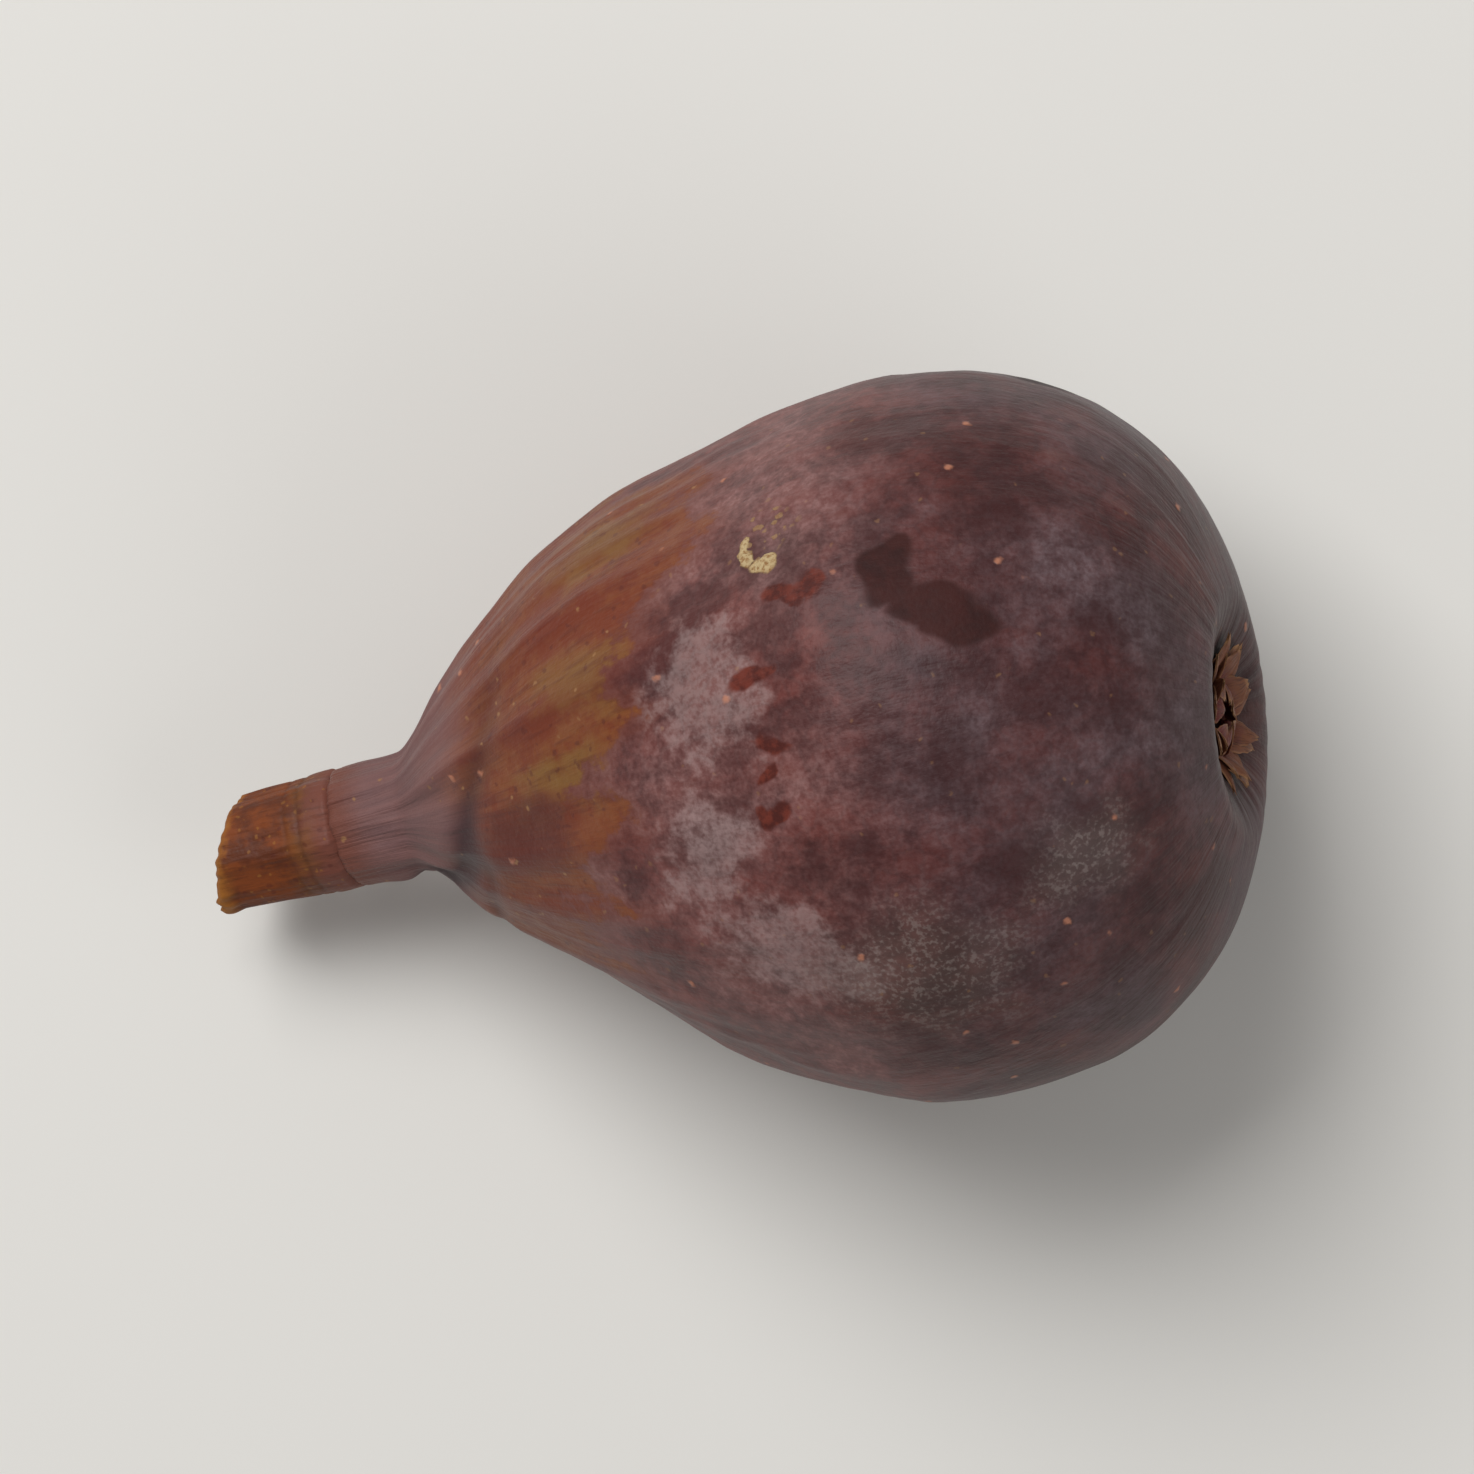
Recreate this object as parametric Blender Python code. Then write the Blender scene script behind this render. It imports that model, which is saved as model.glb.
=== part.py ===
"""A fresh fig lying on its side, at real size: the fruit, the stub of its stalk and the scales of its eye.

Metres, +Z up. The origin is the middle of the small flat spot that the fig rests on, and +X points to its
eye. Shapes are worked out in millimetres along the spine, a smooth line that runs from the eye end through
the body and the bent neck to the cut end of the stalk. A point of the skin has a distance along the spine,
an angle round it and a radius from it. Angle 0 is the side towards +Y, and 90 degrees is the top.
"""

import math

import bmesh
import bpy
import numpy as np

MM = 0.001  # metres in a millimetre
GAP = 0.3  # between neighbouring pieces, in millimetres

# The spine: where it starts, and its course and downward slope in the body and in the neck
SPINE_START = (21.4, 0.5, 25.0)
SPINE_LENGTH, SPINE_STEP = 80.0, 0.05
BODY_COURSE, NECK_COURSE = math.radians(4.3), math.radians(13.5)
BODY_SLOPE, NECK_SLOPE = math.radians(16.0), math.radians(17.0)
BEND = (30.5, 45.5)

# The body: its largest radius, where that lies along the spine, and where its flesh runs out into the neck
BODY_RADIUS = 21.8
WIDEST_AT = 20.6
FLESH_END = 52.5
EYE_END_POWER = 2.4
SHOULDER_POWERS = (1.38, 0.66)
HEIGHT_TO_WIDTH = 0.95
FLATTENED_RADII = (5.0, 13.0)  # from round to flattened between these radii

# The neck: its radius where it leaves the shoulder, how fast it narrows, and how softly it meets the body
NECK_RADIUS = 4.0
NECK_TAPER = 0.045
NECK_END = 57.0
NECK_BLEND_POWER = 2.5

# Broad lobes of the skin: (waves round the fruit, share of the radius, turn), full from the larger radius on
LOBES = ((2, 0.010, 0.6), (3, 0.009, 2.1), (5, 0.005, 0.9))
LOBE_RADII = (4.5, 12.5)

# Raised ribs, which stand highest on the shoulder and sink into the neck, and pucker the skin round the eye
RIB_COUNT = 15
RIB_HEIGHT = 0.42
RIB_WIDTH = math.radians(5.0)
RIB_TWIST = math.radians(14.0)
RIB_SPREAD = 0.28  # how far a rib may stray from even spacing, as a share of it
RIBS_RISE, RIBS_SINK = (14.0, 44.0), (49.0, 54.0)
RIB_SHARE_ON_NECK = 0.25
PUCKER_SHARE, PUCKER_RADII = 0.45, (4.5, 6.0, 7.0, 12.0)
RIB_SEED = 7

# The eye: a shallow dimple in the eye end, and the round pocket in its middle that holds the scales
DIMPLE_DEPTH, DIMPLE_RADIUS = 3.0, 8.0
POCKET_RADIUS, POCKET_DEPTH = 3.9, 1.7
POCKET_FLOOR_RADII = (1.7, 3.5)

# The stalk: its cut slants a little, with the short side towards +Y, and its base swells to a low collar
STALK_CUT_AT, STALK_CUT_SLANT = 64.8, 1.2
COLLAR_RISE, COLLAR_LENGTH = 0.2, 3.0
STALK_INSET = 0.1
STALK_RIDGES = ((7, 0.07, 0.4), (11, 0.05, 0.0))  # (ridges round the stalk, height, turn)
CUT_DEPTH = 0.35
CUT_FACE = ((0.88, 0.15), (0.70, 0.70), (0.35, 1.00), (0.12, 0.80))  # (share of the rim, share of the depth)
BRACT_ANGLES = tuple(math.radians(a) for a in (228.0, 306.0))
BRACT_ROOT, BRACT_TIP = 59.6, 54.8
BRACT_LIFT, BRACT_SINK, BRACT_HALF_WIDTH = 0.76, 1.4, 1.2

# The eye's plug: (depth, radius) of its profile from the wall over the lip into the opening
PLUG_FLOOR_RADII = (1.2, 2.9)
PLUG_PROFILE = ((2.8, 3.35), (1.95, 3.0), (2.1, 2.2), (2.7, 1.3), (2.9, 0.6))

# Scales of the eye, ring by ring: count, (radius, depth) at root and at tip, half width, turn of the ring
OUTER_SCALES = (9, (2.3, 2.45), (5.1, 0.95), 1.30, 0.0)
INNER_SCALES = (7, (2.5, 2.30), (0.70, 1.35), 1.15, 0.45)
SCALE_ARCH = 0.28
SCALE_HALF_THICKNESS = 0.34
SCALE_STRAY, SCALE_REACH, SCALE_WIDTHS = 0.18, (0.85, 1.05), (0.85, 1.1)
SCALE_SEED = 3

# Points round each piece, and rings along it
FRUIT_SEGMENTS, STALK_SEGMENTS, PLUG_SEGMENTS, BLADE_SEGMENTS = 96, 48, 40, 8
EYE_END_RINGS, BODY_RINGS, SHOULDER_RINGS = 18, 14, 14
SHOULDER_FROM = 45.0
STALK_RINGS, BRACT_RINGS, SCALE_RINGS = 9, 7, 5
SHARP_EDGE = math.radians(40.0)


def smooth_step(x, start=0.0, end=1.0):
    """0 up to the start, 1 from the end on, and an S-shaped cubic between them."""
    x = np.clip((x - start) / (end - start), 0.0, 1.0)
    return x * x * (3.0 - 2.0 * x)


def evenly_round(count):
    return np.arange(count) * 2.0 * math.pi / count


def spine(distance):
    """Points of the spine at the given distances, with the unit vectors to its side (+Y) and to its top."""
    along = np.arange(0.0, SPINE_LENGTH, SPINE_STEP)
    turned = smooth_step(along, *BEND)
    course = BODY_COURSE + (NECK_COURSE - BODY_COURSE) * turned
    slope = BODY_SLOPE + (NECK_SLOPE - BODY_SLOPE) * turned
    ahead = np.stack([-np.cos(slope) * np.cos(course), -np.cos(slope) * np.sin(course), -np.sin(slope)], 1)
    side = np.stack([-np.sin(course), np.cos(course), np.zeros_like(course)], 1)
    top = np.cross(side, ahead)
    points = np.array(SPINE_START) + (np.cumsum(ahead, 0) - ahead[0]) * SPINE_STEP

    def at_distance(vectors):
        return np.stack([np.interp(distance, along, vectors[:, k]) for k in range(3)], -1)

    return at_distance(points), at_distance(side), at_distance(top)


def around_spine(distance, angle, radius, height_to_width=1.0):
    """The points at these distances along the spine, angles round it and radii from it."""
    centre, side, top = spine(distance)
    across = side * np.cos(angle)[..., None] + top * (height_to_width * np.sin(angle))[..., None]
    return centre + radius[..., None] * across


def neck_radius(distance):
    """The neck narrows evenly from where the flesh ends."""
    return NECK_RADIUS - NECK_TAPER * np.maximum(distance - FLESH_END, 0.0)


def body_radius(distance):
    """Radius from the widest place to the neck: the flesh thins along a power curve and ends in the neck."""
    share = np.clip((distance - WIDEST_AT) / (FLESH_END - WIDEST_AT), 0.0, 1.0)
    flesh = BODY_RADIUS * (1.0 - share ** SHOULDER_POWERS[0]) ** SHOULDER_POWERS[1]
    neck = neck_radius(distance) * smooth_step(share * 2.0)
    return (flesh**NECK_BLEND_POWER + neck**NECK_BLEND_POWER) ** (1.0 / NECK_BLEND_POWER)


def eye_end_distance(radius):
    """Distance along the spine of the eye end's skin at a radius: a superellipse with the dimple sunk in."""
    round_end = 1.0 - (1.0 - (radius / BODY_RADIUS) ** EYE_END_POWER) ** (1.0 / EYE_END_POWER)
    dimple = DIMPLE_DEPTH * np.clip(1.0 - (radius / DIMPLE_RADIUS) ** 2, 0.0, 1.0) ** 2
    return WIDEST_AT * round_end + dimple


def relief(distance, angle, radius):
    """Radius added by the broad lobes and by the ribs, each a bell curve across its own turning line."""
    lobes = sum(share * np.cos(waves * angle + turn) for waves, share, turn in LOBES)
    lobes = lobes * radius * smooth_step(radius, *LOBE_RADII)
    draw = np.random.default_rng(RIB_SEED)
    twist = RIB_TWIST * (distance - WIDEST_AT) / (FLESH_END - WIDEST_AT)
    ribs = np.zeros_like(radius + angle)
    for k in range(RIB_COUNT):
        middle = (k + draw.uniform(-RIB_SPREAD, RIB_SPREAD)) * 2.0 * math.pi / RIB_COUNT
        strength = draw.uniform(0.55, 1.0)
        apart = np.angle(np.exp(1j * (angle - middle - twist)))
        ribs = ribs + strength * np.exp(-((apart / RIB_WIDTH) ** 2))
    lost_on_neck = (1.0 - RIB_SHARE_ON_NECK) * smooth_step(distance, *RIBS_SINK)
    on_side = smooth_step(distance, *RIBS_RISE) * (1.0 - lost_on_neck)
    inner, full, fading, outer = PUCKER_RADII
    round_eye = smooth_step(radius, inner, full) * (1.0 - smooth_step(radius, fading, outer))
    round_eye = PUCKER_SHARE * round_eye * (distance < WIDEST_AT)
    return lobes + RIB_HEIGHT * (on_side + round_eye) * ribs


def closed_surface(name, rings, material):
    """An object from rings of points, joined ring to ring, with a fan of triangles over each end."""
    count, round_count = rings.shape[:2]
    points = np.concatenate([rings.reshape(-1, 3), rings[:1].mean(1), rings[-1:].mean(1)]) * MM
    here = np.arange(round_count)
    after = np.roll(here, -1)
    faces = []
    for low in range(0, (count - 1) * round_count, round_count):
        high = low + round_count
        faces += np.stack([low + here, low + after, high + after, high + here], 1).tolist()
    last_ring = (count - 1) * round_count
    for start, middle in ((0, count * round_count), (last_ring, count * round_count + 1)):
        faces += np.stack([start + here, start + after, np.full(round_count, middle)], 1).tolist()
    mesh = bpy.data.meshes.new(name)
    mesh.from_pydata(points.tolist(), [], faces)
    turned_out = bmesh.new()
    turned_out.from_mesh(mesh)
    bmesh.ops.recalc_face_normals(turned_out, faces=turned_out.faces)
    turned_out.to_mesh(mesh)
    turned_out.free()
    mesh.materials.append(material)
    mesh.shade_smooth()
    mesh.set_sharp_from_angle(angle=SHARP_EDGE)
    made = bpy.data.objects.new(name, mesh)
    bpy.context.scene.collection.objects.link(made)
    return made


def flesh_material(name, colour, roughness):
    material = bpy.data.materials.new(name)
    material.use_nodes = True
    shader = material.node_tree.nodes["Principled BSDF"]
    shader.inputs["Base Color"].default_value = (*colour, 1.0)
    shader.inputs["Roughness"].default_value = roughness
    shader.inputs["Metallic"].default_value = 0.0
    return material


def make_fruit(material):
    """Rings from the floor of the eye's pocket over the body to the neck's end, flat where the fig rests."""
    lip = float(eye_end_distance(np.array(POCKET_RADIUS)))
    turn = np.linspace(math.asin(POCKET_RADIUS / BODY_RADIUS), math.pi / 2.0, EYE_END_RINGS)
    end_radius = BODY_RADIUS * np.sin(turn)
    body_at = np.linspace(WIDEST_AT, SHOULDER_FROM, BODY_RINGS + 1)[1:]
    shoulder_at = np.linspace(SHOULDER_FROM, NECK_END, SHOULDER_RINGS + 1)[1:]
    side_at = np.concatenate([body_at, shoulder_at])
    floor_at = np.full(len(POCKET_FLOOR_RADII), lip + POCKET_DEPTH)
    distance = np.concatenate([floor_at, eye_end_distance(end_radius), side_at])
    radius = np.concatenate([POCKET_FLOOR_RADII, end_radius, body_radius(side_at)])
    distance, angle = np.meshgrid(distance, evenly_round(FRUIT_SEGMENTS), indexing="ij")
    radius = np.broadcast_to(radius[:, None], angle.shape)
    flattened = 1.0 - (1.0 - HEIGHT_TO_WIDTH) * smooth_step(radius, *FLATTENED_RADII)
    rings = around_spine(distance, angle, radius + relief(distance, angle, radius), flattened)
    rings[..., 2] = np.maximum(rings[..., 2], 0.0)
    return closed_surface("fruit", rings, material)


def blade(name, angle, along, out, half_width, material):
    """A small blade at an angle round the spine: a flat oval section along a path, tapering to its tip."""
    path = around_spine(along, np.full(len(along), angle), out)
    _, side, top = spine(along)
    across = top * math.cos(angle) - side * math.sin(angle)
    ahead = np.gradient(path, axis=0)
    up = np.cross(ahead, across)
    up /= np.linalg.norm(up, axis=1, keepdims=True)
    share = np.linspace(0.0, 1.0, len(along))[:, None, None]
    width = half_width * (0.95 + 0.35 * share - 1.1 * share**2)
    thickness = SCALE_HALF_THICKNESS * (1.0 - 0.1 * share)
    turn = evenly_round(BLADE_SEGMENTS)[None, :, None]
    flat_oval = np.sign(np.sin(turn)) * np.sqrt(np.abs(np.sin(turn)))
    rings = path[:, None] + across[:, None] * width * np.cos(turn) + up[:, None] * thickness * flat_oval
    return closed_surface(name, rings, material)


def join_by_union(base, added):
    """Makes one closed body of a solid and the blades that are rooted in it."""
    gathered = bpy.data.collections.new(base.name + "_blades")
    for piece in added:
        gathered.objects.link(piece)
    union = base.modifiers.new("union", "BOOLEAN")
    union.operation = "UNION"
    union.operand_type = "COLLECTION"
    union.collection = gathered
    union.solver = "EXACT"
    union.use_self = True
    seen = bpy.context.evaluated_depsgraph_get()
    joined = bpy.data.meshes.new_from_object(base.evaluated_get(seen))
    base.modifiers.clear()
    base.data = joined
    for piece in added:
        bpy.data.objects.remove(piece)
    bpy.data.collections.remove(gathered)
    joined.shade_smooth()
    joined.set_sharp_from_angle(angle=SHARP_EDGE)
    return base


def make_stalk(material):
    """The stub of the stalk: a slightly ridged tube with a slanting, dished cut and bracts at its base."""
    angle = evenly_round(STALK_SEGMENTS)
    base = NECK_END + GAP
    cut = STALK_CUT_AT - STALK_CUT_SLANT * np.cos(angle)
    distance = base + (cut - base) * np.linspace(0.0, 1.0, STALK_RINGS)[:, None]
    ridges = sum(height * np.cos(count * angle + turn) for count, height, turn in STALK_RIDGES)
    collar = COLLAR_RISE * (1.0 - smooth_step(distance, base, base + COLLAR_LENGTH))
    radius = neck_radius(distance) - STALK_INSET + collar + ridges
    tube = around_spine(distance, np.broadcast_to(angle, distance.shape), radius)
    rim = tube[-1]
    middle = rim.mean(0)
    inwards = spine(np.array(STALK_CUT_AT - CUT_DEPTH))[0] - spine(np.array(STALK_CUT_AT))[0]
    face = [middle + (rim - middle) * of_rim + inwards * of_depth for of_rim, of_depth in CUT_FACE]
    stalk = closed_surface("stalk", np.concatenate([tube, face]), material)
    along = np.linspace(BRACT_ROOT, BRACT_TIP, BRACT_RINGS)
    out = neck_radius(along) + BRACT_LIFT - BRACT_SINK * smooth_step(along, NECK_END, BRACT_ROOT)
    bracts = [
        blade(f"bract_{k}", at, along, out, BRACT_HALF_WIDTH, material) for k, at in enumerate(BRACT_ANGLES)
    ]
    return join_by_union(stalk, bracts)


def make_eye_scales(material):
    """The eye's scales: an outer ring spread over the dimple and an inner ring leaning over the opening."""
    floor = float(eye_end_distance(np.array(POCKET_RADIUS))) + POCKET_DEPTH - GAP
    profile = np.array([(floor, radius) for radius in PLUG_FLOOR_RADII] + list(PLUG_PROFILE))
    distance, angle = np.meshgrid(profile[:, 0], evenly_round(PLUG_SEGMENTS), indexing="ij")
    plug = around_spine(distance, angle, np.broadcast_to(profile[:, 1:], angle.shape))
    plug = closed_surface("eye_scales", plug, material)
    draw = np.random.default_rng(SCALE_SEED)
    share = np.linspace(0.0, 1.0, SCALE_RINGS)
    scales = []
    for count, root, tip, half_width, turn in (OUTER_SCALES, INNER_SCALES):
        for k in range(count):
            at = (k + turn + draw.uniform(-SCALE_STRAY, SCALE_STRAY)) * 2.0 * math.pi / count
            reach = draw.uniform(*SCALE_REACH) * share
            out = root[0] + (tip[0] - root[0]) * reach
            along = root[1] + (tip[1] - root[1]) * reach - SCALE_ARCH * np.sin(math.pi * share)
            width = half_width * draw.uniform(*SCALE_WIDTHS)
            scales.append(blade(f"scale_{len(scales)}", at, along, out, width, material))
    return join_by_union(plug, scales)


def build():
    for old in list(bpy.data.objects):
        bpy.data.objects.remove(old)
    make_fruit(flesh_material("skin", (0.085, 0.020, 0.028), 0.45))
    make_stalk(flesh_material("stalk", (0.30, 0.11, 0.035), 0.7))
    make_eye_scales(flesh_material("eye", (0.38, 0.10, 0.07), 0.75))


build()
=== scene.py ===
"""The looks of a fresh fig that lies on its side: its ribbed skin and bloom, the cut stalk and the eye.

Every piece is a closed surface worked out with numpy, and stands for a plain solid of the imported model.
Lengths are in millimetres until they are set into a mesh. A point has a distance along the spine (the line
from the eye end through the body and the bent neck to the cut of the stalk), an angle round it and a radius
from it. Angle 0 is the side towards +Y, and a quarter turn is the top, which the camera looks down on.
"""

import math

import bpy
import numpy as np
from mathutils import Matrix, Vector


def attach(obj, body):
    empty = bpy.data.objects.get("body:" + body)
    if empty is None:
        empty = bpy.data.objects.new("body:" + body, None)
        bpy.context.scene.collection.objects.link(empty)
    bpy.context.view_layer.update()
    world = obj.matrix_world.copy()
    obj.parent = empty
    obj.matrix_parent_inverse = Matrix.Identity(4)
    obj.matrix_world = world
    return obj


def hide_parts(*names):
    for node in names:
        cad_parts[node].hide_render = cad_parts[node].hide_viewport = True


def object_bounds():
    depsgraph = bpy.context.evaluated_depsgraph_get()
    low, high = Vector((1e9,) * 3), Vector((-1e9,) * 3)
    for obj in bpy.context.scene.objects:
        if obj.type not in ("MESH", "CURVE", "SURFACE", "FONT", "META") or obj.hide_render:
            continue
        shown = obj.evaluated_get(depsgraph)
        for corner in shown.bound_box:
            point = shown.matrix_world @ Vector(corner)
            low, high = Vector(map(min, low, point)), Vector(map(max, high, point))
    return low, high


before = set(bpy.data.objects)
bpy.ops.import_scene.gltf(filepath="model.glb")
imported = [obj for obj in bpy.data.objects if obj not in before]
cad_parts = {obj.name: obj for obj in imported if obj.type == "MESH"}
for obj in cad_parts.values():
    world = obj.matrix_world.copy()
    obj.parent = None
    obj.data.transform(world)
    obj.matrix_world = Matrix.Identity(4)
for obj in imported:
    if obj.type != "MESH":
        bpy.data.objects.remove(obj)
CAD_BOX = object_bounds()

MM = 0.001  # metres in a millimetre
TURN = 2.0 * math.pi

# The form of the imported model: its spine, body, neck, lobes, ribs and eye
SPINE_START = (21.4, 0.5, 25.0)
SPINE_LENGTH, SPINE_STEP = 80.0, 0.05
BODY_COURSE, NECK_COURSE = math.radians(4.3), math.radians(13.5)
BODY_SLOPE, NECK_SLOPE = math.radians(16.0), math.radians(17.0)
BEND = (30.5, 45.5)
BODY_RADIUS, WIDEST_AT, FLESH_END = 21.8, 20.6, 52.5
EYE_END_POWER, SHOULDER_POWERS = 2.4, (1.38, 0.66)
HEIGHT_TO_WIDTH, FLATTENED_RADII = 0.95, (5.0, 13.0)
NECK_RADIUS, NECK_TAPER, NECK_END, NECK_BLEND_POWER = 4.0, 0.045, 57.0, 2.5
LOBES = ((2, 0.010, 0.6), (3, 0.009, 2.1), (5, 0.005, 0.9))
LOBE_RADII = (4.5, 12.5)
RIB_COUNT, RIB_HEIGHT, RIB_WIDTH, RIB_TWIST = 15, 0.42, math.radians(5.0), math.radians(14.0)
RIB_SPREAD, RIBS_RISE, RIBS_SINK, RIB_SHARE_ON_NECK = 0.28, (14.0, 44.0), (49.0, 54.0), 0.25
RIB_SEED = 7
DIMPLE_DEPTH, DIMPLE_RADIUS = 3.0, 8.0
STALK_CUT_AT, STALK_CUT_SLANT = 64.8, 1.2
STALK_RIDGES = ((7, 0.07, 0.4), (11, 0.05, 0.0))

# Finer relief of the skin: narrow ribs, dents as (wavelength, height), puckers and the neck's folds
FINE_RIBS, FINE_RIB_HEIGHT, FINE_RIB_WIDTH = 46, 0.15, math.radians(1.9)
DENTS = ((17.0, 0.14), (6.5, 0.045), (2.0, 0.011))
PUCKERS, PUCKER_HEIGHT, PUCKER_RADII = 27, 0.16, (3.8, 5.4, 6.5, 11.0)
NECK_FOLDS, NECK_FOLD_LENGTH, NECK_FOLD_HEIGHT = 9, 13.0, 0.13
NECK_FOLDS_RISE, NECK_FOLDS_FADE = (44.0, 50.0), (53.0, 56.4)
CREASES = (  # (distance, slant, depth, half width, middle angle, half span) of folds where the neck bends
    (49.3, 6.4, 0.60, 1.20, 135.0, 80.0),
    (46.9, 0.9, 0.25, 0.60, 140.0, 42.0),
    (53.2, 0.9, 0.16, 0.55, 185.0, 52.0),
)
SKIN_INSET, EYE_END_INSET = 0.21, 0.06  # keep the finer relief within the plain solid's box
EYE_END_INSET_RADII, FINER_RINGS_RADII = (9.0, 16.0), (8.0, 15.0)
NECK_END_ROUNDING = 0.3

# Where a colour ends: (distance, how far that moves round the fig, angle at which it lies nearest the eye)
SHOULDER_EDGE, ROSY_EDGE = (36.8, 4.6, math.radians(20.0)), (49.3, 2.6, math.radians(45.0))

# The eye's well, which its scales close
WELL_RADII, WELL_DEPTH = (2.9, 3.9), 1.7

# Marks seen from above: ((x, y) of the middle, (half length, half width), turn in degrees)
RUBBED_SPOTS = (
    ((-0.5, 8.6), (2.3, 1.6), 62.0),
    ((2.9, 6.3), (3.5, 1.75), -16.0),
)
FAINT_SPOTS = (
    ((-5.1, 7.9), (1.2, 1.0), -10.0),
    ((-6.3, 7.3), (1.1, 0.5), 12.0),
    ((-7.9, 2.6), (1.6, 0.6), 24.0),
    ((-7.0, -1.2), (1.4, 0.6), -8.0),
    ((-7.6, -2.9), (0.5, 0.8), 0.0),
    ((-7.3, -5.4), (0.8, 0.4), 10.0),
)
SPOT_WARP = ((3.2, 0.24), (1.2, 0.10))  # (wavelength, reach) of the waves that make the marks' edges uneven
OLIVE_SPOTS = (
    ((-19.6, -3.6), (3.6, 1.8), 24.0),
    ((-17.2, 10.6), (4.8, 1.5), 42.0),
    ((-18.0, 2.2), (3.4, 2.2), 25.0),
)
MOTTLED_SPOTS = (((1.6, -14.6), (6.5, 4.4), 8.0), ((10.5, -8.0), (4.5, 3.0), 30.0))
RED_SPOTS = (((-21.8, -7.2), (3.4, 2.4), 25.0),)
DUSTED_SPOTS = (
    ((-11.3, 2.0), (3.4, 4.4), 20.0),
    ((-10.5, -7.5), (2.4, 3.2), -20.0),
    ((-5.5, -13.5), (4.6, 2.2), -25.0),
)
SCAB_SPOTS = (((-7.8, 9.3), (0.8, 1.0), 20.0), ((-8.5, 10.2), (0.45, 0.45), 0.0))
GRIT_SPOTS = (((-7.3, 11.6), (1.7, 2.6), -20.0),)
SCAB_HEIGHT = 0.34
HIDDEN_SPOTS, HIDDEN_SPOT_SIZES = 11, (0.8, 3.2)
HIDDEN_SPOTS_ALONG, HIDDEN_SPOTS_ROUND = (8.0, 42.0), (math.pi * 1.02, math.pi * 1.98)

# The stalk's finer form: its collar, the lip and the rounding of its rim, the dish of its cut and its scars
STALK_BASE, CUT_DRAWN_IN = NECK_END - 0.6, 0.1
STALK_DRAWN_IN, COLLAR_RISE, COLLAR_LENGTH = 0.72, 0.60, 0.9
LIP_HEIGHT, LIP_AT, LIP_WIDTH = 0.22, math.radians(150.0), 0.6
RIM_ROUNDING, RIM_ROUNDED = 0.22, 0.35
DISH_DEPTH, PITH_RISE = 0.30, 0.12
SCARS, SCAR_DEPTH = ((2.6, 0.18, 1.0), (3.5, 0.15, 0.6)), 0.05  # (distance from the base, width, strength)

# Seeds of the random waves
SEEDS = {
    "neck folds": 5, "creases": 8, "shoulder edge": 12, "shoulder fringe": 14, "rosy edge": 15,
    "hidden spots": 17, "puckers": 21, "scab": 31, "cut fringe": 40, "cut waves": 41, "stripes": 43,
    "fibres": 44, "swellings": 47, "buds": 61,
}

# Rings along and points round each piece
SKIN_RINGS, SKIN_ROUND = 262, 366
STALK_RINGS, STALK_ROUND, CUT_RINGS = 110, 168, 45
BLADE_RINGS, BLADE_ROUND = 26, 30
BED_RINGS, BED_ROUND = 34, 96

# Rings of the eye's scales: count, (radius, depth) at root and at tip, half width, turn, thickness, tear
OUTER_ROW = (9, (2.3, 2.45), (5.1, 0.95), 1.30, 0.0, 0.15, 0.05)
INNER_ROW = (7, (2.5, 2.30), (0.70, 1.35), 1.15, 0.45, 0.14, 0.06)
MIDDLE_ROW = (8, (2.4, 2.30), (4.15, 0.72), 1.05, 0.5, 0.13, 0.06)
SCALE_ARCH, SCALE_STRAY, SCALE_REACH, SCALE_WIDTHS, SCALE_SEED = 0.28, 0.18, (0.85, 1.05), (0.85, 1.1), 3
BED_LINE = (  # (distance, radius) of the eye's floor, from the middle of its underside over its edge
    (3.2, 0.1), (3.3, 2.0), (3.25, 3.1), (2.95, 3.4),
    (2.62, 3.2), (2.52, 2.8), (2.6, 2.0), (2.85, 1.2), (3.0, 0.1),
)
BUD_SIZE, BUD_HEIGHT = 0.95, 0.11
BRACT_ANGLES = tuple(math.radians(a) for a in (228.0, 306.0))
BRACT_ROOT, BRACT_TIP, BRACT_HALF_WIDTH = 59.2, 54.9, 1.2
BRACT_THICKNESS, BRACT_TEAR = 0.16, 0.05

# Camera and light, in metres and watts; a light has a place, a width and a power
VIEW_WIDTH = 0.088  # what the camera takes in at the height of the fig's middle
LENS = 200.0
SENSOR = 36.0
KEY_LIGHT = ((-0.28, 0.34, 0.62), 0.45, 4.9)
FILL_LIGHT = ((0.45, -0.30, 0.40), 0.50, 0.8)
AIR_STRENGTH = 0.32
FLOOR_HALF_WIDTH, FLOOR_HEIGHT = 4.0, -0.0001


def smooth_step(x, start=0.0, end=1.0):
    """0 up to the start, 1 from the end on, and an S-shaped cubic between them."""
    x = np.clip((x - start) / (end - start), 0.0, 1.0)
    return x * x * (3.0 - 2.0 * x)


def bell(x, width):
    """1 at zero, falling off to both sides like a bell curve of this width."""
    return np.exp(-((x / width) ** 2))


def apart(angle, other):
    """The shorter way round between two angles, from minus to plus half a turn."""
    return np.angle(np.exp(1j * (angle - other)))


def ripple(points, wavelength, seed, waves=26):
    """A random field of about unit height: cosine waves of nearly one length, run in random directions."""
    draw = np.random.default_rng(seed)
    heading = draw.normal(size=(waves, 3))
    heading /= np.linalg.norm(heading, axis=1, keepdims=True)
    heading *= TURN / (wavelength * draw.uniform(0.75, 1.35, (waves, 1)))
    phase = draw.uniform(0.0, TURN, waves)
    return np.cos(points @ heading.T + phase).sum(-1) / math.sqrt(waves / 2.0)


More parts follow.
